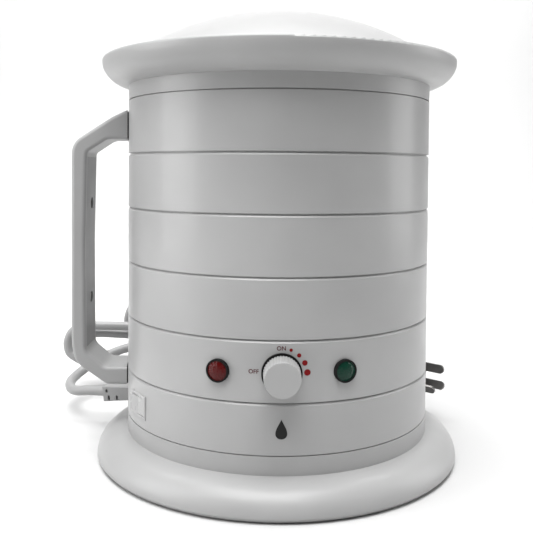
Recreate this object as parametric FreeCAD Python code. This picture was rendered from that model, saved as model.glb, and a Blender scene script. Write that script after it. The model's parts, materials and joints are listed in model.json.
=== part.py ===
import math
import os
import FreeCAD
import Part

# Round paraffin wax bath.  Millimetres; the body's axis is Z, the floor is z 0, the front panel
# faces -Y and the handle is at -X.  An azimuth is measured from the front towards +X.

# housing
BODY_TOP_R = 92.9
BODY_BOTTOM_R = 96.7
BODY_TOP_Z = 222.6
BODY_BOTTOM_Z = 29.6
WALL = 2.4
BAND_JOINTS = [190.9, 158.7, 125.8, 92.5, 58.5]
GROOVE_DEPTH = 1.3
GROOVE_HALF = 0.45
BEVEL_DEPTH = 0.8
BEVEL_HEIGHT = 1.5
SEAM = 0.6
RING_R = 116.1
RING_EDGE_Z = 3.1
RING_TOP_Z = 18.5
RING_WALL = 2.6
PLATE_Z = 1.2
PLATE_T = 2.0
RIM_R = 108.2
RIM_SIDE_Z = 244.6
RIM_TOP_Z = 247.2
SKIRT_TOP_Z = 231.5
BOWL_POWER = 2 / 1.85

# lid and tank
DOME_R = 167.6
DOME_Z = 109.0
LID_T = 2.0
LID_EDGE_R = 102.4
SEAT_Z = 240.2
TANK_R = 79.2
TANK_T = 1.2
TANK_FLOOR_Z = 100.8
TANK_CORNER = 12.0
FLANGE_Z = 236.6
FLANGE_R = 96.5
GUARD_Z = 107.6
GUARD_R = 76.8

# under the tank
SPREADER_Z = 97.6
HEATER_R = 50.0
HEATER_TUBE = 4.0
CLAMP_Z = 88.4
SHIELD_Z = 84.0
ROD_R = 86.9
ROD_ANGLES = (40, 160, 280)
FOOT_R = 100.0
FOOT_ANGLES = (45, 135, 225, 315)

# front panel
PANEL_Z = 75.0
KNOB_R = 10.0
KNOB_FACE_Y = -110.2
KNOB_FACE_R = 9.75
KNOB_BACK_Y = -97.6
KNOB_FLUTES = 40
DIAL_R = 10.9
SHAFT_R = 3.0
RUN_GAP = 0.05
LAMP_AZ = 20.7
LAMP_R = 6.4
LENS_R = 5.5
SWITCH_AZ = -59.6
SWITCH_Z = 42.6
SWITCH_REST = 9.0

# handle
HANDLE_HALF = 16.2
HANDLE_GAP = 0.8
HANDLE_SCREW_Z = (50.0, 206.0)
COVER_FROM_Z = 69.0
COVER_TO_Z = 189.0
COVER_SCREWS = [(-123.0, 99.0), (-122.2, 160.0)]

# cord
GLAND_AZ = -110.8
GLAND_Z = 25.0
GLAND_DROP = 0.09
GLAND_TIP_R = 129.5
CORD_R = 3.6
HANK_Y = 135.9
HANK_LEFT = -174.4
HANK_RIGHT = 18.0
HANK_TOP = 58.0
HANK_BAND = 9.0
HANK_HALF = 14.4
LOOP_X = -102.0
LOOP_Z = 53.0
LOOP_R = 20.5

# plug: built pointing along +X, then turned about Z and moved so its face is at PLUG_FACE
PLUG_TURN = -43.0
PLUG_FACE = (107.0, 58.3, 28.7)
PLUG_HEAD = 22.0
PLUG_BOOT = 14.0
BLADE_W = 6.35
BLADE_T = 1.55
EARTH_LONG = 21.0
LIVE_LONG = 18.0
EARTH_UP = 10.3
LIVE_SIDE = 6.86
LIVE_DOWN = 3.96


def vec(x, y, z):
    return FreeCAD.Vector(x, y, z)


def body_r(z):
    slope = (BODY_BOTTOM_R - BODY_TOP_R) / (BODY_TOP_Z - BODY_BOTTOM_Z)
    return BODY_TOP_R + slope * (BODY_TOP_Z - z)


def azimuth(r, az, z=0.0):
    a = math.radians(az)
    return vec(r * math.sin(a), -r * math.cos(a), z)


def turned(shape, az):
    out = shape.copy()
    out.rotate(vec(0, 0, 0), vec(0, 0, 1), az)
    return out


def cylinder(r, start, end):
    axis = end - start
    return Part.makeCylinder(r, axis.Length, start, axis)


def box(x0, x1, y0, y1, z0, z1):
    return Part.makeBox(x1 - x0, y1 - y0, z1 - z0, vec(x0, y0, z0))


def join(shapes):
    out = shapes[0]
    if len(shapes) > 1:
        out = out.multiFuse(shapes[1:]).removeSplitter()
    return out


def lathe(points):
    ring = [vec(r, 0, z) for r, z in points]
    face = Part.Face(Part.makePolygon(ring + [ring[0]]))
    return face.revolve(vec(0, 0, 0), vec(0, 0, 1), 360)


def lathe_edges(edges):
    face = Part.Face(Part.Wire(Part.__sortEdges__(edges)))
    return face.revolve(vec(0, 0, 0), vec(0, 0, 1), 360)


def line(a, b):
    return Part.LineSegment(vec(a[0], 0, a[1]), vec(b[0], 0, b[1])).toShape()


def lines(path):
    return [line(a, b) for a, b in zip(path, path[1:])]


def arc(a, mid, b):
    return Part.Arc(vec(a[0], 0, a[1]), vec(mid[0], 0, mid[1]), vec(b[0], 0, b[1])).toShape()


def smooth(points):
    curve = Part.BSplineCurve()
    curve.interpolate([vec(r, 0, z) for r, z in points])
    return curve.toShape()


def rounded_edges(points, radii):
    # straight runs between 3-D points with a tangent arc of the given radius at each corner
    edges = []
    last = points[0]
    for i in range(1, len(points) - 1):
        before = (points[i - 1] - points[i]).normalize()
        after = (points[i + 1] - points[i]).normalize()
        angle = before.getAngle(after)
        reach = radii[i] / math.tan(angle / 2)
        start = points[i] + before * reach
        end = points[i] + after * reach
        bisector = (before + after).normalize()
        centre = points[i] + bisector * (radii[i] / math.sin(angle / 2))
        middle = centre - bisector * radii[i]
        if (start - last).Length > 1e-6:
            edges.append(Part.LineSegment(last, start).toShape())
        edges.append(Part.Arc(start, middle, end).toShape())
        last = end
    edges.append(Part.LineSegment(last, points[-1]).toShape())
    return edges


def bend_radii(points):
    radii = [0.0]
    for i in range(1, len(points) - 1):
        before = points[i - 1] - points[i]
        after = points[i + 1] - points[i]
        half_turn = (math.pi - before.getAngle(after)) / 2
        radii.append(0.45 * min(before.Length, after.Length) / math.tan(half_turn))
    return radii + [0.0]


def tube(points, r, radii=None):
    edges = rounded_edges(points, radii or bend_radii(points))
    path = Part.Wire(edges)
    start = points[0]
    ring = Part.Wire(Part.makeCircle(r, start, points[1] - start))
    return path.makePipeShell([ring], True, True)


def rounded_plate(outline, radii, y0, y1):
    # closed outline in XZ with rounded corners, pushed from y0 to y1
    pts = [vec(x, y0, z) for x, z in outline]
    start = (pts[-1] + pts[0]) * 0.5
    loop = [start] + pts + [start]
    edges = rounded_edges(loop, [0.0] + list(radii) + [0.0])
    return Part.Face(Part.Wire(edges)).extrude(vec(0, y1 - y0, 0))


def envelope(offset):
    # outside of the neck, body and skirt, grown by offset
    top = BODY_TOP_R + offset
    return lathe([(0, 8), (BODY_BOTTOM_R + 0.1 + offset, 8), (BODY_BOTTOM_R + 0.1 + offset, BODY_BOTTOM_Z),
                  (BODY_BOTTOM_R + offset, BODY_BOTTOM_Z), (top, BODY_TOP_Z), (top, SKIRT_TOP_Z + 6),
                  (0, SKIRT_TOP_Z + 6)])


# ---- housing ----

def make_body_shell():
    bottom = BODY_BOTTOM_Z + SEAM / 2
    top = BODY_TOP_Z - SEAM / 2
    outer = [(body_r(bottom), bottom)]
    for z in sorted(BAND_JOINTS):
        r = body_r(z)
        groove = r - GROOVE_DEPTH
        outer += [(r, z - BEVEL_HEIGHT), (r - BEVEL_DEPTH, z - GROOVE_HALF), (groove, z - GROOVE_HALF),
                  (groove, z + GROOVE_HALF), (r, z + GROOVE_HALF)]
    outer.append((body_r(top), top))
    shell = lathe(outer + [(body_r(top) - WALL, top), (body_r(bottom) - WALL, bottom)])
    pad = box(-13, 13, -98, -91.2, PANEL_Z - 13, PANEL_Z + 13)
    pad = pad.common(lathe([(0, 50), (body_r(50) - 1.2, 50), (body_r(100) - 1.2, 100), (0, 100)]))
    shell = join([shell, pad])
    cuts = [cylinder(5.1, vec(0, -104, PANEL_Z), vec(0, -80, PANEL_Z))]
    for az in (-LAMP_AZ, LAMP_AZ):
        cuts.append(cylinder(5.05, azimuth(104, az, PANEL_Z), azimuth(80, az, PANEL_Z)))
    cuts.append(turned(box(-9.5, 9.5, -104, -80, SWITCH_Z - 6.6, SWITCH_Z + 6.6), SWITCH_AZ))
    for y, z in handle_screw_spots():
        cuts.append(cylinder(2.1, vec(-104, y, z), vec(-80, y, z)))
    return shell.cut(Part.makeCompound(cuts))


def ring_curve(r_in, r_out, low, high, steps=14):
    pts = []
    for i in range(steps + 1):
        t = math.pi / 2 * i / steps
        pts.append((r_in + (r_out - r_in) * math.cos(t), low + (high - low) * math.sin(t)))
    return pts


def make_base_ring():
    neck = BODY_BOTTOM_R + 0.1
    low = BODY_BOTTOM_Z - SEAM / 2
    high = BODY_BOTTOM_Z + SEAM / 2
    spigot = body_r(36) - WALL - 0.1
    outer = ring_curve(neck, RING_R, RING_EDGE_Z, RING_TOP_Z)
    inner = ring_curve(neck - RING_WALL, RING_R - RING_WALL - 0.9, RING_EDGE_Z, RING_TOP_Z - RING_WALL)
    neck_path = [outer[-1], (neck, low), (neck - 1.2, low), (neck - 1.2, high), (spigot, high), (spigot, 36),
                 (spigot - 1.8, 36), (spigot - 1.8, inner[-1][1]), inner[-1]]
    foot_path = [inner[0], (inner[0][0], PLATE_Z), (RING_R - 1.4, PLATE_Z), outer[0]]
    ring = lathe_edges([smooth(outer)] + lines(neck_path) + [smooth(inner)] + lines(foot_path))
    bosses = []
    for az in FOOT_ANGLES:
        bosses.append(cylinder(4.5, azimuth(FOOT_R, az, PLATE_Z + PLATE_T), azimuth(FOOT_R, az, 16.2)))
    ring = join([ring] + bosses)
    holes = [cylinder(1.5, azimuth(FOOT_R, az, 0), azimuth(FOOT_R, az, 12.5)) for az in FOOT_ANGLES]
    holes.append(cylinder(4.4, gland_spot(80.0), gland_spot(104.0)))
    holes.append(turned(box(-10.4, 10.4, -96, -80, 33.5, 37), SWITCH_AZ))
    return ring.cut(Part.makeCompound(holes))


def make_bottom_plate():
    plate = Part.makeCylinder(RING_R - RING_WALL - 1.2, PLATE_T, vec(0, 0, PLATE_Z))
    cuts = [cylinder(1.6, azimuth(FOOT_R, az, 0), azimuth(FOOT_R, az, 6)) for az in FOOT_ANGLES]
    cuts += [cylinder(1.6, azimuth(ROD_R, az, 0), azimuth(ROD_R, az, 6)) for az in ROD_ANGLES]
    for row in (-3, -2, 2, 3):
        slot = join([box(-22, 22, -1.5, 1.5, 0, 6), cylinder(1.5, vec(-22, 0, 0), vec(-22, 0, 6)),
                     cylinder(1.5, vec(22, 0, 0), vec(22, 0, 6))])
        slot.translate(vec(0, row * 9.0, 0))
        cuts.append(slot)
    return plate.cut(Part.makeCompound(cuts))


def make_rubber_feet():
    # four screwed feet and a plain one in the middle, under the tank's weight
    feet = [cylinder(8.0, vec(0, 0, 0), vec(0, 0, PLATE_Z))]
    for az in FOOT_ANGLES:
        foot = cylinder(8.0, azimuth(FOOT_R, az, 0), azimuth(FOOT_R, az, PLATE_Z))
        foot = foot.cut(cylinder(4.0, azimuth(FOOT_R, az, -1), azimuth(FOOT_R, az, 3)))
        feet.append(foot)
    return Part.makeCompound(feet)


def make_foot_screws():
    screws = []
    for az in FOOT_ANGLES:
        head = cylinder(3.4, azimuth(FOOT_R, az, 0.3), azimuth(FOOT_R, az, PLATE_Z))
        shank = cylinder(1.5, azimuth(FOOT_R, az, PLATE_Z), azimuth(FOOT_R, az, 12.0))
        screws.append(join([head, shank]))
    return Part.makeCompound(screws)


def make_tie_rods():
    rods = []
    for az in ROD_ANGLES:
        head = cylinder(3.2, azimuth(ROD_R, az, 0.3), azimuth(ROD_R, az, PLATE_Z))
        rod = cylinder(1.5, azimuth(ROD_R, az, PLATE_Z), azimuth(ROD_R, az, 234.0))
        rods.append(join([head, rod]))
    return Part.makeCompound(rods)


def make_rod_nuts():
    nuts = []
    for az in ROD_ANGLES:
        nut = hexagon(5.5, 2.5)
        nut.translate(azimuth(ROD_R, az, SHIELD_Z - 2.5))
        nuts.append(nut.cut(cylinder(1.5, azimuth(ROD_R, az, 70), azimuth(ROD_R, az, 90))))
    return Part.makeCompound(nuts)


def hexagon(flats, height):
    r = flats / math.sqrt(3)
    pts = [vec(r * math.cos(math.radians(60 * i)), r * math.sin(math.radians(60 * i)), 0) for i in range(6)]
    return Part.Face(Part.makePolygon(pts + [pts[0]])).extrude(vec(0, 0, height))


def make_top_collar():
    low = BODY_TOP_Z - SEAM / 2
    high = BODY_TOP_Z + SEAM / 2
    skirt = BODY_TOP_R - 0.1
    spigot = BODY_TOP_R - WALL - 0.1
    bowl = []
    for i in range(17):
        t = math.pi / 2 * i / 16
        bowl.append((skirt + (RIM_R - skirt) * math.sin(t) ** BOWL_POWER,
                     RIM_SIDE_Z - (RIM_SIDE_Z - SKIRT_TOP_Z) * math.cos(t) ** BOWL_POWER))
    rim = 1.6
    k = 1 - math.sqrt(0.5)
    edges = [line((skirt, high), bowl[0]), smooth(bowl), line(bowl[-1], (RIM_R, RIM_TOP_Z - rim)),
             arc((RIM_R, RIM_TOP_Z - rim), (RIM_R - rim * k, RIM_TOP_Z - rim * k), (RIM_R - rim, RIM_TOP_Z)),
             line((RIM_R - rim, RIM_TOP_Z), (104.0, RIM_TOP_Z)),
             arc((104.0, RIM_TOP_Z), (103.15, RIM_TOP_Z - 0.35), (102.8, RIM_TOP_Z - 1.2))]
    inside = [(102.8, RIM_TOP_Z - 1.2), (102.8, SEAT_Z), (98.2, SEAT_Z), (98.2, 235.6), (82.5, 235.6),
              (82.5, 232.4), (spigot - 1.8, 232.4), (spigot - 1.8, 214.0), (spigot, 214.0), (spigot, low),
              (skirt - 1.2, low), (skirt - 1.2, high), (skirt, high)]
    collar = lathe_edges(edges + lines(inside))
    holes = [cylinder(1.5, azimuth(ROD_R, az, 228), azimuth(ROD_R, az, 234.0)) for az in ROD_ANGLES]
    return collar.cut(Part.makeCompound(holes))


# ---- lid, tank and heater ----

def make_lid():
    def on_dome(radius, r):
        return (r, DOME_Z + math.sqrt(radius * radius - r * r))
    outer = DOME_R
    inner = DOME_R - LID_T
    edge_z = SEAT_Z + 0.2
    a = on_dome(outer, 100.2)
    b = on_dome(inner, 99.0)
    c, d = on_dome(inner, 97.4), on_dome(inner, 95.8)
    edges = [arc((0, DOME_Z + outer), on_dome(outer, 52), a)]
    edges.append(arc(a, (101.7, a[1] - 1.1), (LID_EDGE_R, a[1] - 2.2)))
    edges += lines([(LID_EDGE_R, a[1] - 2.2), (LID_EDGE_R, edge_z), (99.0, edge_z), b])
    edges.append(arc(b, on_dome(inner, 98.2), c))
    edges += lines([c, (97.4, 238.6), (95.8, 238.6), d])
    edges.append(arc(d, on_dome(inner, 50), (0, DOME_Z + inner)))
    edges.append(line((0, DOME_Z + inner), (0, DOME_Z + outer)))
    return lathe_edges(edges)


def make_tank():
    top = FLANGE_Z + TANK_T
    out = TANK_R + TANK_T
    floor = TANK_FLOOR_Z - TANK_T
    k = 1 - math.sqrt(0.5)
    ci, co = TANK_CORNER, TANK_CORNER + TANK_T
    lip = 3.0
    corner = (TANK_R - ci * k, TANK_FLOOR_Z + ci * k)
    edges = [line((0, TANK_FLOOR_Z), (TANK_R - ci, TANK_FLOOR_Z)),
             arc((TANK_R - ci, TANK_FLOOR_Z), corner, (TANK_R, TANK_FLOOR_Z + ci)),
             line((TANK_R, TANK_FLOOR_Z + ci), (TANK_R, top - lip)),
             arc((TANK_R, top - lip), (TANK_R + lip * k, top - lip * k), (TANK_R + lip, top)),
             line((TANK_R + lip, top), (FLANGE_R, top)), line((FLANGE_R, top), (FLANGE_R, FLANGE_Z)),
             line((FLANGE_R, FLANGE_Z), (TANK_R + lip, FLANGE_Z)),
             arc((TANK_R + lip, FLANGE_Z), (out + (lip - TANK_T) * k, FLANGE_Z - (lip - TANK_T) * k),
                 (out, FLANGE_Z - lip + TANK_T)),
             line((out, FLANGE_Z - lip + TANK_T), (out, floor + co)),
             arc((out, floor + co), (out - co * k, floor + co * k), (out - co, floor)),
             line((out - co, floor), (0, floor)), line((0, floor), (0, TANK_FLOOR_Z))]
    return lathe_edges(edges)


def make_tank_gasket():
    return lathe([(84.0, 235.6), (97.8, 235.6), (97.8, FLANGE_Z), (84.0, FLANGE_Z)])


def make_bottom_guard():
    disc = Part.makeCylinder(GUARD_R, 1.5, vec(0, 0, GUARD_Z))
    edge = GUARD_R - 1.4
    rolled = lathe([(edge, GUARD_Z), (GUARD_R, GUARD_Z), (GUARD_R, GUARD_Z + 4.0), (edge, GUARD_Z + 4.0)])
    under = TANK_FLOOR_Z + 0.3
    legs = [cylinder(3.0, azimuth(58, az, under), azimuth(58, az, GUARD_Z)) for az in (0, 120, 240)]
    holes = []
    for ring, count in ((12.0, 6), (25.0, 12), (38.0, 18), (48.5, 24), (67.5, 32)):
        for i in range(count):
            spot = azimuth(ring, 360.0 * (i + 0.5 * (count % 4 == 0)) / count, GUARD_Z - 2)
            holes.append(cylinder(3.6, spot, spot + vec(0, 0, 6)))
    return join([disc.cut(Part.makeCompound(holes)), rolled] + legs)


def make_guard_loop():
    base = GUARD_Z + 1.5
    pts = [vec(-7.0, 0, base), vec(-7.0, 0, base + 22), vec(7.0, 0, base + 22), vec(7.0, 0, base)]
    loop = tube(pts, 1.4, [0, 6.0, 6.0, 0])
    flats = [Part.makeCylinder(3.0, 1.0, vec(x, 0, base)) for x in (-7.0, 7.0)]
    return join([loop] + flats)


def make_heat_spreader():
    disc = Part.makeCylinder(66.0, TANK_FLOOR_Z - TANK_T - SPREADER_Z, vec(0, 0, SPREADER_Z))
    return disc


def make_heater_element():
    z = SPREADER_Z - HEATER_TUBE
    ring = Part.Face(Part.Wire(Part.makeCircle(HEATER_TUBE, vec(HEATER_R, 0, z), vec(0, 1, 0))))
    ring = ring.revolve(vec(0, 0, 0), vec(0, 0, 1), 300)
    ring.rotate(vec(0, 0, 0), vec(0, 0, 1), 120)
    ends = []
    for angle in (120, 60):
        a = math.radians(angle)
        spot = vec(HEATER_R * math.cos(a), HEATER_R * math.sin(a), z)
        step = vec(-math.sin(a), math.cos(a), 0) * (-2.5 if angle == 120 else 2.5)
        ends.append(cylinder(2.2, spot, spot + step * 3.2))
        ends.append(Part.makeBox(1.0, 4.8, 12.0, spot + step * 3.0 + vec(-0.5, -2.4, -12.0)))
    return join([ring] + ends)


def make_heater_clamp():
    plate = Part.makeCylinder(58.0, 1.2, vec(0, 0, CLAMP_Z))
    low, high = CLAMP_Z - 3, CLAMP_Z + 3
    cuts = [Part.makeCylinder(3.0, 8, vec(0, 0, low))]
    cuts.append(box(-26, 26, 38, 60, low, high))
    cuts.append(box(-9, 9, -60, -14, low, high))
    return plate.cut(Part.makeCompound(cuts))


def make_clamp_bolt():
    stud = Part.makeCylinder(3.0, SPREADER_Z - 81.0, vec(0, 0, 81.0))
    nut = hexagon(10.0, 5.0)
    nut.translate(vec(0, 0, CLAMP_Z - 5.0))
    return join([stud, nut])


def make_sensor():
    z = SPREADER_Z - 3.0
    under = CLAMP_Z - 1.6
    bulb = cylinder(3.0, vec(0, -38, z), vec(0, -8, z))
    pts = [vec(0, -37.5, z), vec(0, -41, z), vec(0, -41, under), vec(0, -57, under), vec(0, -57, PANEL_Z),
           vec(0, -69.9, PANEL_Z)]
    return join([bulb, tube(pts, 0.9, [0, 2.6, 2.6, 4, 4, 0])])


def make_thermal_cutout():
    can = Part.makeCylinder(8.0, 8.0, vec(26, 0, CLAMP_Z - 8.0))
    tabs = [box(23 + i * 5, 23.8 + i * 5, -2.4, 2.4, CLAMP_Z - 15, CLAMP_Z - 8) for i in (0, 1)]
    return join([can] + tabs)


def make_insulation():
    return lathe([(80.6, 118), (84.5, 118), (84.5, 212), (80.6, 212)])


def make_support_disc():
    disc = Part.makeCylinder(89.4, 1.2, vec(0, 0, SHIELD_Z))
    low = SHIELD_Z - 1
    holes = ((10.0, 0, 0), (11.0, 26, 0), (4.0, 0, -57))
    cuts = [Part.makeCylinder(r, 4, vec(x, y, low)) for r, x, y in holes]
    cuts.append(box(-34, 34, 36, 56, low, SHIELD_Z + 3))
    cuts += [cylinder(1.5, azimuth(ROD_R, az, 80), azimuth(ROD_R, az, 88)) for az in ROD_ANGLES]
    return disc.cut(Part.makeCompound(cuts))


# ---- controls ----

def make_thermostat_body():
    plate = box(-12.5, 12.5, -91.2, -90.0, PANEL_Z - 8.5, PANEL_Z + 8.5)
    case = box(-16, 16, -90.0, -70.0, PANEL_Z - 8.5, PANEL_Z + 8.5)
    bush = cylinder(4.9, vec(0, -91.0, PANEL_Z), vec(0, -99.9, PANEL_Z))
    tabs = [box(x - 0.4, x + 0.4, -70.0, -62.0, PANEL_Z - 2.4, PANEL_Z + 2.4) for x in (-11, 11)]
    bore = cylinder(SHAFT_R + RUN_GAP, vec(0, -84.0, PANEL_Z), vec(0, -101, PANEL_Z))
    return join([plate, case, bush] + tabs).cut(bore)


def make_dial_ring():
    ring = cylinder(DIAL_R, vec(0, -93.0, PANEL_Z), vec(0, -97.2, PANEL_Z))
    ring = ring.cut(cylinder(5.1, vec(0, -80, PANEL_Z), vec(0, -100, PANEL_Z)))
    return ring.cut(envelope(0))


def make_thermostat_nut():
    nut = hexagon(13.0, 2.4)
    nut.rotate(vec(0, 0, 0), vec(1, 0, 0), 90)
    nut.translate(vec(0, -97.2, PANEL_Z))
    return nut.cut(cylinder(4.9, vec(0, -96, PANEL_Z), vec(0, -101, PANEL_Z)))


def make_thermostat_shaft():
    return cylinder(SHAFT_R, vec(0, -84.5, PANEL_Z), vec(0, -108.4, PANEL_Z))


def make_knob_insert():
    outer = cylinder(4.4, vec(0, -101.2, PANEL_Z), vec(0, -108.4, PANEL_Z))
    return outer.cut(cylinder(SHAFT_R, vec(0, -100, PANEL_Z), vec(0, -110, PANEL_Z)))


def make_control_knob():
    # turned with its face at z 0 and its back towards +Z, then laid down on the front
    depth = KNOB_BACK_Y - KNOB_FACE_Y
    outside = [(0, 0), (KNOB_FACE_R - 0.4, 0), (KNOB_FACE_R, 0.4), (KNOB_R, depth)]
    hollow = [(8.6, depth), (8.6, 9.0), (4.4, 9.0), (4.4, 1.8), (0, 1.8)]
    knob = lathe(outside + hollow)
    flutes = []
    for i in range(KNOB_FLUTES):
        a = 2 * math.pi * i / KNOB_FLUTES
        start = vec((KNOB_FACE_R + 0.12) * math.cos(a), (KNOB_FACE_R + 0.12) * math.sin(a), -1)
        end = vec((KNOB_R + 0.12) * math.cos(a), (KNOB_R + 0.12) * math.sin(a), depth + 1)
        flutes.append(cylinder(0.5, start, end))
    knob = knob.cut(Part.makeCompound(flutes))
    knob.rotate(vec(0, 0, 0), vec(1, 0, 0), -90)
    knob.translate(vec(0, KNOB_FACE_Y, PANEL_Z))
    return knob


def front_cylinder(r, back, front):
    return cylinder(r, vec(0, back, PANEL_Z), vec(0, front, PANEL_Z))


def lamp_pieces(az):
    flange = front_cylinder(LAMP_R, -94.0, -97.8).cut(envelope(0))
    barrel = front_cylinder(5.0, -96.4, -80.0)
    tabs = [box(x - 0.4, x + 0.4, -80.0, -73.0, PANEL_Z - 1.5, PANEL_Z + 1.5) for x in (-2.6, 2.6)]
    body = join([flange, barrel] + tabs).cut(front_cylinder(LENS_R, -96.6, -99.0))
    dome = Part.makeSphere(12.0, vec(0, -86.6, PANEL_Z)).common(front_cylinder(LENS_R, -97.4, -101.0))
    lens = join([front_cylinder(LENS_R, -96.6, -97.4), dome])
    nut = front_cylinder(7.4, -90.2, -92.8).cut(front_cylinder(5.0, -88.0, -95.0))
    return turned(body, az), turned(lens, az), turned(nut, az)


def make_switch_housing():
    flange = box(-9.9, 9.9, -96.9, -93.0, SWITCH_Z - 7.2, SWITCH_Z + 7.2)
    front = [edge for edge in flange.Edges if edge.BoundBox.YMax < -96.8]
    flange = flange.makeChamfer(0.5, front).cut(envelope(0))
    case = box(-9.4, 9.4, -96.4, -82.0, SWITCH_Z - 6.5, SWITCH_Z + 6.5)
    body = join([flange, case])
    body = body.cut(box(-8.7, 8.7, -99, -88.0, SWITCH_Z - 5.5, SWITCH_Z + 5.5))
    pins = cylinder(1.2 + RUN_GAP, vec(0, -94.4, SWITCH_Z - 6.2), vec(0, -94.4, SWITCH_Z + 6.2))
    return turned(body.cut(pins), SWITCH_AZ)


def make_switch_rocker():
    y0 = -94.4
    outline = [(-8.3, 1.6), (-8.3, -3.3), (0.0, -2.6), (8.3, -3.3), (8.3, 1.6), (3.0, 4.6), (-3.0, 4.6)]
    pts = [vec(x, y0 + y, SWITCH_Z - 5.2) for x, y in outline]
    rocker = Part.Face(Part.makePolygon(pts + [pts[0]])).extrude(vec(0, 0, 10.4))
    pin = cylinder(1.2, vec(0, y0, SWITCH_Z - 6.1), vec(0, y0, SWITCH_Z + 6.1))
    rocker = join([rocker, pin])
    rocker.rotate(vec(0, y0, SWITCH_Z), vec(0, 0, 1), SWITCH_REST)
    return turned(rocker, SWITCH_AZ)


def make_switch_terminals():
    tabs = []
    for x in (-5.0, 5.0):
        for z in (-3.0, 3.0):
            tabs.append(box(x - 0.4, x + 0.4, -82.0, -73.5, SWITCH_Z + z - 1.6, SWITCH_Z + z + 1.6))
    return turned(Part.makeCompound(tabs), SWITCH_AZ)


# ---- handle ----

def handle_screw_spots():
    return [(y, z) for z in HANDLE_SCREW_Z for y in (-9.0, 9.0)]


def make_handle():
    outline = [(-80, 223.2), (-101.8, 213.3), (-127.1, 197.4), (-130.6, 72.0), (-128.6, 59.4),
               (-109.0, 45.2), (-80, 45.2), (-80, 56.8), (-110.4, 56.8), (-121.6, 66.6),
               (-120.4, 137.0), (-118.0, 191.6), (-105.4, 199.6), (-80, 199.6)]
    radii = [3.0, 30.0, 12.0, 40.0, 14.0, 7.0, 3.0, 3.0, 6.0, 7.0, 300.0, 3.5, 8.0, 3.0]
    grip = rounded_plate(outline, radii, -HANDLE_HALF, HANDLE_HALF)
    rims = [edge for edge in grip.Edges if edge.BoundBox.YLength < 1e-4]
    grip = grip.makeFillet(2.4, rims).cut(envelope(HANDLE_GAP))
    seat = [(-123.2, COVER_TO_Z), (-124.6, COVER_FROM_Z), (-108, COVER_FROM_Z), (-108, COVER_TO_Z)]
    pocket = rounded_plate(seat, [1.5, 1.5, 0.5, 0.5], -12.6, 12.6)
    cover = grip.common(pocket)
    outer = grip.cut(pocket)
    heads = []
    shanks = []
    for x, z in COVER_SCREWS:
        heads.append(cylinder(3.6, vec(x, 3.0, z), vec(-108, 3.0, z)))
        shanks.append(cylinder(1.4, vec(-126.4, 3.0, z), vec(-118, 3.0, z)))
    cover = cover.cut(Part.makeCompound(heads + shanks))
    holes = [cylinder(1.8, vec(-104.0, y, z), vec(-90, y, z)) for y, z in handle_screw_spots()]
    outer = outer.cut(Part.makeCompound(shanks + holes))
    return outer, cover


def make_cover_screws():
    screws = []
    for x, z in COVER_SCREWS:
        head = cylinder(3.2, vec(x, 3.0, z), vec(x + 1.0, 3.0, z))
        shank = cylinder(1.4, vec(-126.4, 3.0, z), vec(x, 3.0, z))
        slot = box(x + 0.5, x + 2, 2.6, 3.4, z - 4, z + 4)
        screws.append(join([head, shank]).cut(slot))
    return Part.makeCompound(screws)


def make_handle_gaskets():
    skin = envelope(HANDLE_GAP - 0.03).cut(envelope(0.05))
    low = skin.common(box(-110, -80, -15.4, 15.4, 46.2, 55.2))
    high = skin.common(box(-110, -80, -15.4, 15.4, 200.6, 216.0))
    gaskets = Part.makeCompound([low, high])
    holes = [cylinder(2.1, vec(-104.0, y, z), vec(-80, y, z)) for y, z in handle_screw_spots()]
    return gaskets.cut(Part.makeCompound(holes))


def backplate_x(z):
    return -math.sqrt((body_r(z) - WALL) ** 2 - 13.0 ** 2) + 0.3


def make_handle_backplates():
    plates = []
    for z in HANDLE_SCREW_Z:
        x = backplate_x(z)
        plate = box(x, x + 1.5, -13.0, 13.0, z - 5.0, z + 5.0)
        holes = [cylinder(1.8, vec(-100, y, z), vec(-70, y, z)) for y in (-9.0, 9.0)]
        plates.append(plate.cut(Part.makeCompound(holes)))
    return Part.makeCompound(plates)


def make_handle_screws():
    screws = []
    for y, z in handle_screw_spots():
        x = backplate_x(z) + 1.5
        head = cylinder(3.2, vec(x + 1.8, y, z), vec(x, y, z))
        shank = cylinder(1.8, vec(x, y, z), vec(-104.0, y, z))
        screws.append(join([head, shank]))
    return Part.makeCompound(screws)


# ---- cord, gland and wiring ----

def gland_spot(r):
    # on the cord's line through the base, which falls towards its outer end
    return azimuth(r, GLAND_AZ, GLAND_Z - GLAND_DROP * (r - BODY_BOTTOM_R))


def gland_outline(half, low, high, y):
    corners = [vec(-half, y, low), vec(half, y, low), vec(half, y, high), vec(-half, y, high)]
    return Part.Wire(Part.makePolygon(corners + corners[:1]))


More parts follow.
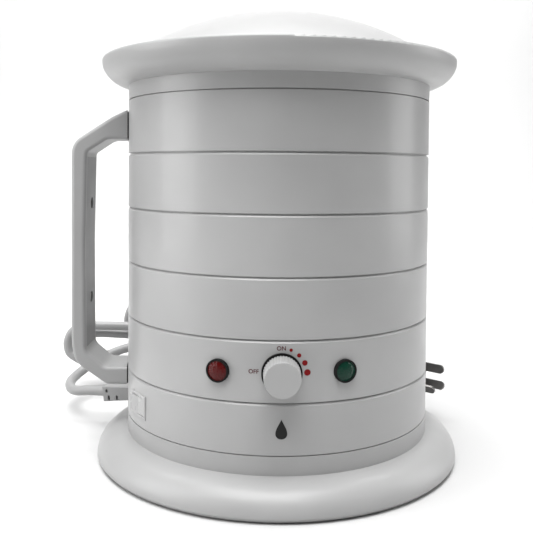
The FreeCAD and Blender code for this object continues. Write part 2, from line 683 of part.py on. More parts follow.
def make_cord_gland():
    # built along -Y at z 0, then tipped down and turned to its place
    neck = BODY_BOTTOM_R
    tip = neck + (GLAND_TIP_R - neck) / math.cos(math.atan(GLAND_DROP))
    ends = [gland_outline(4.6, -4.1, 4.1, 4 - neck), gland_outline(5.6, -6.0, 5.4, -tip)]
    block = Part.makeLoft(ends, True, True)
    long_edges = [edge for edge in block.Edges if edge.BoundBox.YLength > 10]
    block = block.makeFillet(1.0, long_edges)
    windows = []
    for x0, x1 in ((-8.0, -3.4), (3.4, 8.0)):
        for from_tip, low, high in ((3.2, 0.6, 2.9), (4.4, -5.0, -1.6), (11.0, -4.8, -1.4)):
            windows.append(box(x0, x1, from_tip - tip - 0.9, from_tip - tip + 0.9, low, high))
    core = cylinder(4.0, vec(0, -neck, 0), vec(0, -tip, 0))
    block = join([block.cut(Part.makeCompound(windows)), core])
    inside = cylinder(4.3, vec(0, -neck + 6.0, 0), vec(0, -neck - 1.0, 0))
    gland = tipped(block).cut(lathe([(0, 0), (neck + 0.1, 0), (neck + 0.1, 45), (0, 45)]))
    gland = join([gland, tipped(inside)])
    gland = gland.cut(tipped(cylinder(CORD_R, vec(0, -70, 0), vec(0, -tip - 2, 0))))
    return turned(gland, GLAND_AZ)


def tipped(shape):
    out = shape.copy()
    out.translate(vec(0, BODY_BOTTOM_R, 0))
    out.rotate(vec(0, 0, 0), vec(1, 0, 0), math.degrees(math.atan(GLAND_DROP)))
    out.translate(vec(0, -BODY_BOTTOM_R, GLAND_Z))
    return out


def make_cord_stub():
    return cylinder(CORD_R, gland_spot(72.0), gland_spot(GLAND_TIP_R))


def make_cord_clamp():
    post = turned(box(-8.0, 8.0, -84.0, -76.0, PLATE_Z + PLATE_T, gland_spot(80.0).z + 6.0), GLAND_AZ)
    return post.cut(cylinder(CORD_R, gland_spot(70.0), gland_spot(90.0)))


def make_terminal_block():
    block = box(-16, 16, 52, 68, PLATE_Z + PLATE_T, PLATE_Z + PLATE_T + 12.0)
    cuts = [cylinder(2.2, vec(x, 60, 9), vec(x, 60, 20)) for x in (-10.6, 0, 10.6)]
    return block.cut(Part.makeCompound(cuts))


def make_internal_wires():
    # thin leads from the terminal block; they stop just short of what they join
    start = gland_spot(71.6)
    feed = tube([start, start + vec(16, -6, -1), vec(-36, 56, 12), vec(-16.4, 60, 8.5)], 1.6)
    at_switch = [azimuth(73.2, SWITCH_AZ, SWITCH_Z), azimuth(60.0, SWITCH_AZ, SWITCH_Z)]
    to_switch = tube(at_switch + [vec(-30, 10, 30), vec(-10.6, 42, 12), vec(-10.6, 51.4, 9.0)], 1.3)
    at_stat = [vec(11, -61.4, PANEL_Z), vec(11, -50, PANEL_Z - 4)]
    to_stat = tube(at_stat + [vec(10.6, 0, 40), vec(10.6, 42, 12), vec(10.6, 51.4, 9.0)], 1.3)
    at_block = [vec(0, 51.4, 11.0), vec(0, 43, 15)]
    to_heat = tube(at_block + [vec(26, 20, 45), vec(26.4, 0, 64), vec(26.4, 0, 73.0)], 1.3)
    return Part.makeCompound([feed, to_switch, to_stat, to_heat])


def lead_points():
    # from the gland round an open bend and back behind the body to the hank
    rest = [(-134.15, 50.96, 21.6), (-149.5, 59.0, 18.0), (-156.5, 77.0, 19.6), (-154.0, 99.0, 21.0),
            (-142.0, 112.0, 28.5), (-121.0, 117.0, 37.0), (-92.0, 117.0, 42.5), (-58.0, 122.5, 50.0)]
    return [gland_spot(GLAND_TIP_R)] + [vec(*spot) for spot in rest]


def make_cord_lead():
    return tube(lead_points(), CORD_R)


def stadium(inset, half):
    # flat-sided round-ended block between the hank's ends
    r = HANK_TOP / 2 - inset
    z = HANK_TOP / 2
    x0, x1 = HANK_LEFT + HANK_TOP / 2, HANK_RIGHT - HANK_TOP / 2
    ends = [cylinder(r, vec(x, HANK_Y - half, z), vec(x, HANK_Y + half, z)) for x in (x0, x1)]
    return join([box(x0, x1, HANK_Y - half, HANK_Y + half, z - r, z + r)] + ends)


def make_cord_hank():
    # coiled turns tied flat, standing on the floor behind the base, with one loose loop at the rear
    hank = stadium(0, HANK_HALF).cut(stadium(HANK_BAND, HANK_HALF + 2))
    rear = HANK_Y + HANK_HALF
    middle = vec(LOOP_X, rear, LOOP_Z)
    front = middle - vec(0, 2 * CORD_R, 0)
    loop = cylinder(LOOP_R + CORD_R, front, middle).cut(cylinder(LOOP_R - CORD_R, front, middle))
    return join([hank, loop])


def make_cord_tie():
    x, wide, thick = -30.0, 4.0, 1.2
    low, high = HANK_TOP - HANK_BAND, HANK_TOP
    front, rear = HANK_Y - HANK_HALF, HANK_Y + HANK_HALF
    outer = box(x, x + wide, front - thick, rear + thick, low - thick, high + thick)
    return outer.cut(box(x - 1, x + wide + 1, front, rear, low, high))


def plug_direction():
    a = math.radians(PLUG_TURN)
    return vec(math.cos(a), math.sin(a), 0)


def tail_points():
    back = vec(*PLUG_FACE) - plug_direction() * (PLUG_HEAD + PLUG_BOOT)
    return [vec(6.0, 136.5, 50.0), vec(35.0, 127.5, 42.5), vec(60.0, 105.0, 31.5), back]


def make_cord_tail():
    return tube(tail_points(), CORD_R)


def plug_local(shape):
    out = shape.copy()
    out.rotate(vec(0, 0, 0), vec(0, 0, 1), PLUG_TURN)
    out.translate(vec(*PLUG_FACE))
    return out


def make_plug_body():
    outline = [(-11.5, -11.0), (11.5, -11.0), (11.5, 3.0), (5.8, 15.5), (-5.8, 15.5), (-11.5, 3.0)]
    pts = [vec(-PLUG_HEAD, y, z) for y, z in outline]
    start = (pts[-1] + pts[0]) * 0.5
    edges = rounded_edges([start] + pts + [start], [0.0] + [3.2] * 6 + [0.0])
    head = Part.Face(Part.Wire(edges)).extrude(vec(PLUG_HEAD, 0, 0))
    back = [e for e in head.Edges if e.BoundBox.XMax < 0.1 - PLUG_HEAD]
    head = head.makeFillet(2.0, back)
    boot_end = vec(-PLUG_HEAD - PLUG_BOOT, 0, 0)
    boot = Part.makeCone(CORD_R + 1.0, 7.6, PLUG_BOOT + 1.0, boot_end, vec(1, 0, 0))
    return plug_local(join([head, boot]))


def make_blade(length, y, z, slant):
    tip = BLADE_W / 2
    flat = box(0, length - tip, -BLADE_T / 2, BLADE_T / 2, -tip, tip)
    end = cylinder(tip, vec(length - tip, -BLADE_T / 2, 0), vec(length - tip, BLADE_T / 2, 0))
    blade = join([flat, end])
    blade.rotate(vec(0, 0, 0), vec(1, 0, 0), slant)
    blade.translate(vec(0, y, z))
    return blade


def make_plug_pins():
    pins = [make_blade(EARTH_LONG, 0, EARTH_UP, 0), make_blade(LIVE_LONG, -LIVE_SIDE, -LIVE_DOWN, 30),
            make_blade(LIVE_LONG, LIVE_SIDE, -LIVE_DOWN, -30)]
    return plug_local(Part.makeCompound(pins))


def main():
    red_body, red_lens, red_nut = lamp_pieces(-LAMP_AZ)
    green_body, green_lens, green_nut = lamp_pieces(LAMP_AZ)
    handle_outer, handle_cover = make_handle()
    nodes = {
        "body_shell": make_body_shell(), "base_ring": make_base_ring(),
        "bottom_plate": make_bottom_plate(), "rubber_feet": make_rubber_feet(),
        "foot_screws": make_foot_screws(), "tie_rods": make_tie_rods(), "rod_nuts": make_rod_nuts(),
        "top_collar": make_top_collar(), "lid": make_lid(), "tank": make_tank(),
        "tank_gasket": make_tank_gasket(), "bottom_guard": make_bottom_guard(),
        "guard_loop": make_guard_loop(), "heat_spreader": make_heat_spreader(),
        "heater_element": make_heater_element(), "heater_clamp": make_heater_clamp(),
        "clamp_bolt": make_clamp_bolt(), "sensor_bulb": make_sensor(),
        "thermal_cutout": make_thermal_cutout(), "insulation": make_insulation(),
        "support_disc": make_support_disc(), "thermostat_body": make_thermostat_body(),
        "dial_ring": make_dial_ring(), "thermostat_nut": make_thermostat_nut(),
        "thermostat_shaft": make_thermostat_shaft(), "knob_insert": make_knob_insert(),
        "control_knob": make_control_knob(), "red_lamp_body": red_body, "red_lamp_lens": red_lens,
        "green_lamp_body": green_body, "green_lamp_lens": green_lens,
        "lamp_retainers": Part.makeCompound([red_nut, green_nut]),
        "switch_housing": make_switch_housing(), "switch_rocker": make_switch_rocker(),
        "switch_terminals": make_switch_terminals(), "handle_outer": handle_outer,
        "handle_cover": handle_cover, "cover_screws": make_cover_screws(),
        "handle_gaskets": make_handle_gaskets(), "handle_backplates": make_handle_backplates(),
        "handle_screws": make_handle_screws(), "cord_gland": make_cord_gland(),
        "cord_stub": make_cord_stub(), "cord_clamp": make_cord_clamp(),
        "terminal_block": make_terminal_block(), "internal_wires": make_internal_wires(),
        "cord_lead": make_cord_lead(), "cord_hank": make_cord_hank(), "cord_tie": make_cord_tie(),
        "cord_tail": make_cord_tail(), "plug_body": make_plug_body(), "plug_pins": make_plug_pins(),
    }
    os.makedirs("parts", exist_ok=True)
    for name, shape in nodes.items():
        bounds = shape.BoundBox
        print("%-18s solids %2d  valid %s  vol %9.1f  x %7.1f %7.1f  y %7.1f %7.1f  z %6.1f %6.1f" % (
            name, len(shape.Solids), shape.isValid(), shape.Volume, bounds.XMin, bounds.XMax, bounds.YMin,
            bounds.YMax, bounds.ZMin, bounds.ZMax))
        shape.exportStep("parts/%s.step" % name)
    for name, pts in (("lead", lead_points()), ("tail", tail_points())):
        print("bend radii", name, [round(r, 1) for r in bend_radii(pts)[1:-1]],
              "runs", [round((b - a).Length, 1) for a, b in zip(pts, pts[1:])])


main()
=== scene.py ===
import json
import math
import bpy
from mathutils import Matrix, Vector


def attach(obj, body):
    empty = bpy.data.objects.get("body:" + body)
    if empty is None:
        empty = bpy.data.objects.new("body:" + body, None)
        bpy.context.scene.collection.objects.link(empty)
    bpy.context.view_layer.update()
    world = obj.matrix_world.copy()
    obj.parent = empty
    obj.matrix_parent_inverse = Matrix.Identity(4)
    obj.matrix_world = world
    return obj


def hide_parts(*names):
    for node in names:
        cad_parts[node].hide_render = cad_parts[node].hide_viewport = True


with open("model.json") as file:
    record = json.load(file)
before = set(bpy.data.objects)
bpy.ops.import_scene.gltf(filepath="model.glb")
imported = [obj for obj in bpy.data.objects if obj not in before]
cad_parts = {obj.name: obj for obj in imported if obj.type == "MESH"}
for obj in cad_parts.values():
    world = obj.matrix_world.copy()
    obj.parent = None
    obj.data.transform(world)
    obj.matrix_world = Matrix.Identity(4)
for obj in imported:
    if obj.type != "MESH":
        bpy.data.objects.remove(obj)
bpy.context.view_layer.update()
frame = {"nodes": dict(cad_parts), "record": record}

nodes = frame["nodes"]
print("frame loaded:", len(nodes), "nodes")


def mm(*values):
    return Vector([v / 1000 for v in values])


cameraSetup = {
    "place": mm(-14.2, -477.9, 181.1),
    "down": 7.34,  # degrees below level
    "turn": 0.86,  # degrees towards +X
    "lean": 0.37,
    "lens": 50.23,
}


def makeCamera(setup):
    data = bpy.data.cameras.new("camera")
    data.lens = setup["lens"]
    data.sensor_width = 36
    data.clip_start = 0.01
    camera = bpy.data.objects.new("camera", data)
    bpy.context.collection.objects.link(camera)
    aim = Matrix.Rotation(math.radians(-setup["turn"]), 4, "Z")
    tip = Matrix.Rotation(math.radians(90 - setup["down"]), 4, "X")
    lean = Matrix.Rotation(math.radians(setup["lean"]), 4, "Z")
    camera.matrix_world = Matrix.Translation(setup["place"]) @ aim @ tip @ lean
    bpy.context.scene.camera = camera


makeCamera(cameraSetup)


def newFinish(name):
    finish = bpy.data.materials.new(name)
    finish.use_nodes = True
    tree = finish.node_tree
    shader = tree.nodes["Principled BSDF"]
    return finish, tree, shader


def grain(tree, scale, detail=3.0):
    place = tree.nodes.new("ShaderNodeTexCoord")
    noise = tree.nodes.new("ShaderNodeTexNoise")
    noise.inputs["Scale"].default_value = scale
    noise.inputs["Detail"].default_value = detail
    tree.links.new(place.outputs["Object"], noise.inputs["Vector"])
    return noise.outputs["Fac"]


def spread(tree, source, low, high):
    span = tree.nodes.new("ShaderNodeMapRange")
    span.inputs["From Min"].default_value = 0.3
    span.inputs["From Max"].default_value = 0.7
    span.inputs["To Min"].default_value = low
    span.inputs["To Max"].default_value = high
    tree.links.new(source, span.inputs["Value"])
    return span.outputs["Result"]


def tint(tree, source, low, high):
    ramp = tree.nodes.new("ShaderNodeValToRGB")
    ramp.color_ramp.elements[0].position = 0.3
    ramp.color_ramp.elements[1].position = 0.7
    ramp.color_ramp.elements[0].color = (*low, 1)
    ramp.color_ramp.elements[1].color = (*high, 1)
    tree.links.new(source, ramp.inputs["Fac"])
    return ramp.outputs["Color"]


def press(tree, shader, source, strength, distance):
    bump = tree.nodes.new("ShaderNodeBump")
    bump.inputs["Strength"].default_value = strength
    bump.inputs["Distance"].default_value = distance
    tree.links.new(source, bump.inputs["Height"])
    tree.links.new(bump.outputs["Normal"], shader.inputs["Normal"])


mouldedSetup = {
    "driftScale": 14,
    "sheenScale": 60,
    "sheenSpread": 0.03,
    "sparkScale": 2600,
    "sparkDepth": 0.00004,
    "coatRough": 0.08,
    "scatterDepth": 0.006,
}


def moulded(name, color, rough, texture=0.15, coat=0.0, scatter=0.0, drift=0.02, shine=0.5):
    # injection moulded plastic: fine spark texture and a very slight drift of tone
    setup = mouldedSetup
    finish, tree, shader = newFinish(name)
    dark = [max(0, c - drift) for c in color]
    light = [min(1, c + drift) for c in color]
    tone = tint(tree, grain(tree, setup["driftScale"], 2), dark, light)
    tree.links.new(tone, shader.inputs["Base Color"])
    sheen = grain(tree, setup["sheenScale"])
    sheen = spread(tree, sheen, rough - setup["sheenSpread"], rough + setup["sheenSpread"])
    tree.links.new(sheen, shader.inputs["Roughness"])
    if texture:
        press(tree, shader, grain(tree, setup["sparkScale"], 1), texture, setup["sparkDepth"])
    shader.inputs["Specular IOR Level"].default_value = shine
    shader.inputs["Coat Weight"].default_value = coat
    shader.inputs["Coat Roughness"].default_value = setup["coatRough"]
    if scatter:
        shader.inputs["Subsurface Weight"].default_value = scatter
        shader.inputs["Subsurface Radius"].default_value = (setup["scatterDepth"],) * 3
        shader.inputs["Subsurface Scale"].default_value = 1.0
    return finish


metalSetup = {"scratchScale": 180, "scratchDetail": 4, "scratchDepth": 0.00003, "polish": 0.08}


def metal(name, color, rough, stretch=(1, 1, 1), texture=0.2):
    # spun, drawn or plated metal; stretch draws the scratches out along one axis
    setup = metalSetup
    finish, tree, shader = newFinish(name)
    shader.inputs["Metallic"].default_value = 1.0
    place = tree.nodes.new("ShaderNodeTexCoord")
    size = tree.nodes.new("ShaderNodeMapping")
    size.inputs["Scale"].default_value = stretch
    noise = tree.nodes.new("ShaderNodeTexNoise")
    noise.inputs["Scale"].default_value = setup["scratchScale"]
    noise.inputs["Detail"].default_value = setup["scratchDetail"]
    tree.links.new(place.outputs["Object"], size.inputs["Vector"])
    tree.links.new(size.outputs["Vector"], noise.inputs["Vector"])
    scratches = noise.outputs["Fac"]
    tone = tint(tree, scratches, [c * 0.9 for c in color], color)
    tree.links.new(tone, shader.inputs["Base Color"])
    sheen = spread(tree, scratches, max(0.05, rough - setup["polish"]), rough + setup["polish"])
    tree.links.new(sheen, shader.inputs["Roughness"])
    press(tree, shader, scratches, texture, setup["scratchDepth"])
    return finish


lensSetup = {
    "rough": 0.12,
    "ior": 1.49,
    "clear": 0.05,
    "shine": 0.25,
    "prismScale": 1100,
    "prismStrength": 0.6,
    "prismDepth": 0.0004,
}


def clearLens(name, color):
    # coloured lamp lens with a fine prism pattern
    setup = lensSetup
    finish, tree, shader = newFinish(name)
    shader.inputs["Base Color"].default_value = (*color, 1)
    shader.inputs["Roughness"].default_value = setup["rough"]
    shader.inputs["IOR"].default_value = setup["ior"]
    shader.inputs["Transmission Weight"].default_value = setup["clear"]
    shader.inputs["Specular IOR Level"].default_value = setup["shine"]
    place = tree.nodes.new("ShaderNodeTexCoord")
    cells = tree.nodes.new("ShaderNodeTexVoronoi")
    cells.inputs["Scale"].default_value = setup["prismScale"]
    tree.links.new(place.outputs["Object"], cells.inputs["Vector"])
    press(tree, shader, cells.outputs["Distance"], setup["prismStrength"], setup["prismDepth"])
    return finish


woolSetup = {"fibreScale": 500, "fibreDetail": 6, "shade": 0.75, "rough": 0.95, "depth": 0.001}


def wool(name, color):
    setup = woolSetup
    finish, tree, shader = newFinish(name)
    fibres = grain(tree, setup["fibreScale"], setup["fibreDetail"])
    tone = tint(tree, fibres, [c * setup["shade"] for c in color], color)
    tree.links.new(tone, shader.inputs["Base Color"])
    shader.inputs["Roughness"].default_value = setup["rough"]
    press(tree, shader, fibres, 0.8, setup["depth"])
    return finish


def grey(tone):
    return (tone, tone, tone)


finishes = {
    "housing_plastic": moulded("housingGrey", grey(0.34), 0.36, texture=0.12, coat=0.1),
    "base_plastic": moulded("baseGrey", grey(0.34), 0.4, texture=0, coat=0.05),
    "lid_plastic": moulded("milkyWhite", grey(0.33), 0.38, texture=0.05, coat=0.05,
                           scatter=0.15, drift=0.008),
    "tank_metal": metal("spunAluminium", (0.80, 0.81, 0.82), 0.28, stretch=(0.4, 0.4, 14)),
    "guard_metal": metal("guardAluminium", (0.84, 0.85, 0.86), 0.3),
    "spreader_metal": metal("castAluminium", (0.70, 0.71, 0.72), 0.5, texture=0.6),
    "steel_zinc": metal("zincSteel", (0.30, 0.30, 0.31), 0.4),
    "steel_wire": metal("brightWire", (0.82, 0.82, 0.83), 0.12),
    "heater_steel": metal("heaterSteel", (0.36, 0.33, 0.31), 0.42),
    "capillary_copper": metal("copperTube", (0.80, 0.46, 0.30), 0.25),
    "insert_brass": metal("turnedBrass", (0.80, 0.62, 0.32), 0.22),
    "insulation_wool": wool("glassWool", (0.86, 0.83, 0.72)),
    "gasket_rubber": moulded("blackGasket", grey(0.03), 0.7, texture=0.3, drift=0.01),
    "silicone_seal": moulded("paleSilicone", (0.78, 0.78, 0.76), 0.5, texture=0.1),
    "foot_rubber": moulded("footRubber", grey(0.03), 0.75, texture=0.4, drift=0.01),
    "knob_plastic": moulded("knobGrey", grey(0.35), 0.42, coat=0.05),
    # near-black ring behind the knob with little shine: painted shadow for the dark gap round the knob's
    # base
    "dial_plastic": moulded("knobGapPaintedShadow", grey(0.006), 0.55, texture=0, drift=0.002, shine=0.12),
    "black_plastic": moulded("blackMoulding", grey(0.03), 0.5, texture=0.3, drift=0.01),
    # near-black lamp bezels with little shine: painted shadow for the dark edge round each recessed lens
    "lamp_body_plastic": moulded("lampBezelPaintedShadow", grey(0.006), 0.5, texture=0, drift=0.002, shine=0.12),
    "red_lens": clearLens("redLens", (0.07, 0.0015, 0.0015)),
    "green_lens": clearLens("greenLens", (0.001, 0.032, 0.018)),
    "switch_plastic": moulded("switchGrey", grey(0.365), 0.28, texture=0, coat=0.3),
    "handle_plastic": moulded("handleGrey", grey(0.29), 0.42, coat=0.03),
    # darker grey on the handle's inner face: painted shade for the side that faces the body, away from the
    # lamps
    "handle_inner_plastic": moulded("handleInnerPaintedShade", grey(0.172), 0.45),
    "gland_plastic": moulded("glandGrey", grey(0.26), 0.5),
    "cord_pvc": moulded("cordGrey", grey(0.26), 0.4, texture=0.1, coat=0.05),
    "tie_plastic": moulded("tieWhite", grey(0.8), 0.4, texture=0),
    "plug_plastic": moulded("plugGrey", grey(0.243), 0.42),
    "pin_metal": metal("pinMetal", (0.22, 0.215, 0.21), 0.36),
    "terminal_plastic": moulded("ivoryBlock", (0.82, 0.79, 0.70), 0.4, texture=0.1),
    "wire_pvc": moulded("wireJacket", (0.72, 0.70, 0.64), 0.4, texture=0),
}

slotOfNode = {part["node"]: part["material_slot"] for part in frame["record"]["subparts"]}
for name, piece in nodes.items():
    for place in piece.material_slots:
        place.material = finishes[slotOfNode[name]]
print("finishes laid on")


cordSetup = {
    "length": 1.5,
    "diameter": 0.0072,
    "strand": 7.25,  # from one turn to the next
    "firstTurn": 125.1,
    "sideSteps": 6,  # along each straight side of a turn
    # the right end of each turn: furthest X, low Z and high Z
    "rightEnds": [(14.0, 3.8, 52.5), (14.3, 3.7, 54.2), (13.8, 3.8, 53.0)],
    # the left folds: middle X and Z, radius and the heading that the cord comes in from, in degrees
    "leftFolds": [(-153.8, 35.8, 16.8, 225), (-144.6, 28.9, 16.0, 225), (-102.0, 53.0, 20.5, 255)],
    # the way along the floor to each left fold: X and Z
    "lowRuns": [[(-112, 5.0), (-134, 10.0)], [(-112, 5.0), (-130, 9.5)], [(-58, 6.0), (-78, 17.0)]],
    # the way back from each left fold
    "highRuns": [[(-112, 51.7)], [(-112, 42.5)], []],
}

# from the gland round behind the body to the first turn
leadRoute = [
    (-121.06, 45.99, 22.05), (-134.15, 50.96, 21.6), (-149.5, 59, 18), (-156.5, 77, 19.6), (-154, 99, 21),
    (-142, 112, 28.5), (-121, 117, 37), (-92, 117, 42.5), (-58, 122.5, 50), (-34, 124.8, 52),
]

# from the loose loop through the tie to the plug
tailRoute = [
    (-82, 147, 71), (-64, 147, 62.5), (-46, 147, 55), (-28, 147, 54), (-10, 145, 54.2),
    (6, 139, 52.5), (22, 131, 48), (40, 121.5, 41), (60, 105, 31.5), (80.67, 82.85, 28.7),
]


def hankEnd(furthest, low, high, y):
    # six points down round the right end of a turn
    half = (high - low) / 2
    reach = half / math.cos(math.pi / 12)
    middleX, middleZ = furthest - half, (low + high) / 2
    points = []
    for step in (5, 3, 1, -1, -3, -5):
        angle = step * math.pi / 12
        points.append((middleX + reach * math.cos(angle), y, middleZ + reach * math.sin(angle)))
    return points


def leftFold(x, z, radius, start, y):
    # six points up round a left fold, from the start angle to straight above its middle
    step = math.radians(start - 90) / 6
    reach = radius / math.cos(step / 2)
    points = []
    for i in range(6):
        angle = math.radians(start) - step * (i + 0.5)
        points.append((x + reach * math.cos(angle), y, z + reach * math.sin(angle)))
    return points


def turnSide(start, end, steps):
    # the straight side of a coiled turn, between its two round ends
    points = []
    for i in range(1, steps):
        share = i / steps
        points.append(tuple(a + (b - a) * share for a, b in zip(start, end)))
    return points


def cordRoute(setup):
    route = list(leadRoute)
    front = setup["firstTurn"]
    turns = zip(setup["rightEnds"], setup["leftFolds"], setup["lowRuns"], setup["highRuns"])
    for right, fold, low, high in turns:
        rear = front + setup["strand"]
        turnRight = hankEnd(*right, front)
        if len(route) > len(leadRoute):
            route += turnSide(route[-1], turnRight[0], setup["sideSteps"])
        route += turnRight
        lowRoute = [(x, rear, z) for x, z in low]
        route += turnSide(route[-1], lowRoute[0], setup["sideSteps"]) + lowRoute
        route += leftFold(*fold, rear) + [(x, rear, z) for x, z in high]
        front = rear
    return route + tailRoute


def makeCord(setup):
    curve = bpy.data.curves.new("cord", "CURVE")
    curve.dimensions = "3D"
    curve.bevel_depth = setup["diameter"] / 2
    curve.bevel_resolution = 5
    curve.resolution_u = 10
    spline = curve.splines.new("NURBS")
    route = cordRoute(setup)
    spline.points.add(len(route) - 1)
    for point, spot in zip(spline.points, route):
        point.co = (*mm(*spot), 1)
    spline.order_u = 3
    spline.use_endpoint_u = True
    cord = bpy.data.objects.new("cord", curve)
    bpy.context.collection.objects.link(cord)
    curve.materials.append(finishes["cord_pvc"])
    return cord


cord = makeCord(cordSetup)
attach(cord, "housing")
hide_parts("cord_lead", "cord_hank", "cord_tail")
print("cord laid")


wall = {"topRadius": 0.0929, "bottomRadius": 0.0967, "topHeight": 0.2226, "bottomHeight": 0.0296}
marks = {
    "proud": 0.00006,  # clear of the wall
    "dialHeight": 0.075,
    "dots": [(4.8, 12.5, 1.8), (9.1, 9.6, 2.3), (12.2, 5.5, 3.0), (13.6, 0.3, 3.5)],  # across, up, diameter
    "words": [("ON", -0.3, 13.3), ("OFF", -15.0, 0.6)],
    "letterHeight": 2.3,
    "capShare": 0.72,  # a capital's height in the font's size
    "letterWeight": 0.00004,
    "iconHeight": 0.0445,
    "iconSize": 11,
    "iconWidth": 0.84,  # share of its height
    "iconPoint": 1.6,  # how sharply the drop narrows to its top
}


def onWall(across, height, proud):
    share = (wall["topHeight"] - height) / (wall["topHeight"] - wall["bottomHeight"])
    radius = wall["topRadius"] + (wall["bottomRadius"] - wall["topRadius"]) * share
    angle = across / radius
    radius += proud
    return Vector((radius * math.sin(angle), -radius * math.cos(angle), height))


inkSetup = {"speckScale": 900, "shade": 0.9, "rough": 0.5, "shine": 0.2}


def inkFinish(name, color):
    setup = inkSetup
    finish, tree, shader = newFinish(name)
    tone = tint(tree, grain(tree, setup["speckScale"]), [c * setup["shade"] for c in color], color)
    tree.links.new(tone, shader.inputs["Base Color"])
    shader.inputs["Roughness"].default_value = setup["rough"]
    shader.inputs["Specular IOR Level"].default_value = setup["shine"]
    return finish


redInk = inkFinish("redInk", (0.2, 0.002, 0.004))
wordInk = inkFinish("wordInk", (0.07, 0.002, 0.004))
blackInk = inkFinish("blackInk", (0.015, 0.015, 0.015))


def printOnWall(name, outlines, ink, centre):
    # outlines are flat loops in millimetres; each becomes a filled patch on the curved wall
    verts, faces = [], []
    for loop in outlines:
        first = len(verts)
        middle = (sum(p[0] for p in loop) / len(loop), sum(p[1] for p in loop) / len(loop))
        for x, z in [middle] + list(loop):
            verts.append(onWall(centre[0] + x / 1000, centre[1] + z / 1000, marks["proud"]))
        for i in range(len(loop)):
            faces.append((first, first + 1 + i, first + 1 + (i + 1) % len(loop)))
    mesh = bpy.data.meshes.new(name)
    mesh.from_pydata(verts, [], faces)
    mesh.materials.append(ink)
    piece = bpy.data.objects.new(name, mesh)
    bpy.context.collection.objects.link(piece)
    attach(piece, "housing")
    return piece


def disc(x, z, diameter, count=28):
    points = []
    for i in range(count):
        angle = 2 * math.pi * i / count
        points.append((x + diameter / 2 * math.cos(angle), z + diameter / 2 * math.sin(angle)))
    return points


def printWord(name, text, x, z, ink):
    font = bpy.data.curves.new(name + "Shape", "FONT")
    font.body = text
    font.size = marks["letterHeight"] / marks["capShare"] / 1000
    font.align_x = "CENTER"
    font.align_y = "CENTER"
    font.resolution_u = 6
    font.offset = marks["letterWeight"]
    shape = bpy.data.objects.new(name + "Shape", font)
    bpy.context.collection.objects.link(shape)
    mesh = bpy.data.meshes.new_from_object(shape)
    bpy.data.objects.remove(shape)
    for vert in mesh.vertices:
        across, height = x / 1000 + vert.co.x, marks["dialHeight"] + z / 1000 + vert.co.y
        vert.co = onWall(across, height, marks["proud"])
    mesh.materials.clear()
    mesh.materials.append(ink)
    piece = bpy.data.objects.new(name, mesh)
    bpy.context.collection.objects.link(piece)
    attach(piece, "housing")


printOnWall("heat_dots", [disc(*dot) for dot in marks["dots"]], redInk, (0, marks["dialHeight"]))
for text, x, z in marks["words"]:
    printWord("word_" + text.lower(), text, x, z, wordInk)


def dropOutline(setup, count=36):
    half = setup["iconSize"] / 2
    points = []
    for i in range(count):
        angle = 2 * math.pi * i / count
        narrow = math.sin(angle / 2) ** setup["iconPoint"]
        points.append((half * setup["iconWidth"] * math.sin(angle) * narrow, half * math.cos(angle)))
    return points


printOnWall("wax_drop_icon", [dropOutline(marks)], blackInk, (0, marks["iconHeight"]))
print("marks printed")


studio = {
    "floorTone": grey(0.56),
    "floorDrift": 0.01,
    "floorRough": 0.8,
    "wallDistance": 1.6,
    "cove": 0.6,
    "halfWidth": 4.0,
    "front": -2.5,
    "wallHeight": 3.2,
}


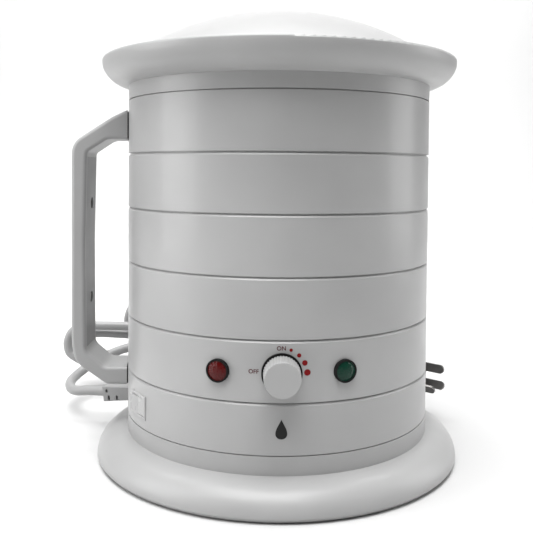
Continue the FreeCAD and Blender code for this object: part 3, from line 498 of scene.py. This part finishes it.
def makeFloor(setup):
    profile = [(setup["front"], 0.0)]
    for i in range(13):
        angle = math.pi / 2 * i / 12
        y = setup["wallDistance"] + setup["cove"] * math.sin(angle)
        profile.append((y, setup["cove"] * (1 - math.cos(angle))))
    profile.append((setup["wallDistance"] + setup["cove"], setup["wallHeight"]))
    verts, faces = [], []
    for y, z in profile:
        verts += [(-setup["halfWidth"], y, z), (setup["halfWidth"], y, z)]
    for i in range(len(profile) - 1):
        faces.append((2 * i, 2 * i + 1, 2 * i + 3, 2 * i + 2))
    mesh = bpy.data.meshes.new("floor")
    mesh.from_pydata(verts, [], faces)
    mesh.polygons.foreach_set("use_smooth", [True] * len(faces))
    finish, tree, shader = newFinish("paleFloor")
    tone = setup["floorTone"]
    drift = tint(tree, grain(tree, 3), [c - setup["floorDrift"] for c in tone], tone)
    tree.links.new(drift, shader.inputs["Base Color"])
    shader.inputs["Roughness"].default_value = setup["floorRough"]
    mesh.materials.append(finish)
    floor = bpy.data.objects.new("floor", mesh)
    bpy.context.collection.objects.link(floor)


def softLight(name, place, aim, size, power):
    data = bpy.data.lights.new(name, "AREA")
    data.shape = "RECTANGLE"
    data.size, data.size_y = size
    data.energy = power
    light = bpy.data.objects.new(name, data)
    bpy.context.collection.objects.link(light)
    light.location = place
    light.rotation_euler = (Vector(aim) - Vector(place)).to_track_quat("-Z", "Y").to_euler()


# place, aim, size and power
lights = {
    "leftBox": ((-1.3, -0.3, 0.55), (0, 0, 0.14), (0.8, 1.1), 10.5),
    "rightBox": ((1.35, 0.2, 0.55), (0, 0, 0.14), (0.7, 1.1), 6),
    "topBox": ((-0.15, -0.45, 1.6), (0, 0, 0.1), (1.2, 1.2), 41),
    "backdropBox": ((0, 0.7, 1.7), (0, 2.0, 0.4), (2.5, 0.6), 62),
}

# the room's soft fill: dim from the front, brighter from behind
fill = {"frontStrength": 0.12, "rearStrength": 0.42}


def makeWorld(setup):
    world = bpy.data.worlds.new("studio")
    world.use_nodes = True
    tree = world.node_tree
    back = tree.nodes["Background"]
    place = tree.nodes.new("ShaderNodeTexCoord")
    parts = tree.nodes.new("ShaderNodeSeparateXYZ")
    span = tree.nodes.new("ShaderNodeMapRange")
    span.inputs["From Min"].default_value = -1.0
    span.inputs["From Max"].default_value = 0.2
    span.inputs["To Min"].default_value = setup["frontStrength"]
    span.inputs["To Max"].default_value = setup["rearStrength"]
    tree.links.new(place.outputs["Generated"], parts.inputs["Vector"])
    tree.links.new(parts.outputs["Y"], span.inputs["Value"])
    tree.links.new(span.outputs["Result"], back.inputs["Strength"])
    back.inputs["Color"].default_value = (1, 1, 1, 1)
    bpy.context.scene.world = world


makeFloor(studio)
for name, (place, aim, size, power) in lights.items():
    softLight(name, place, aim, size, power)
makeWorld(fill)
bpy.context.scene.view_settings.view_transform = "Standard"
bpy.context.scene.view_settings.look = "None"
print("floor and light set")
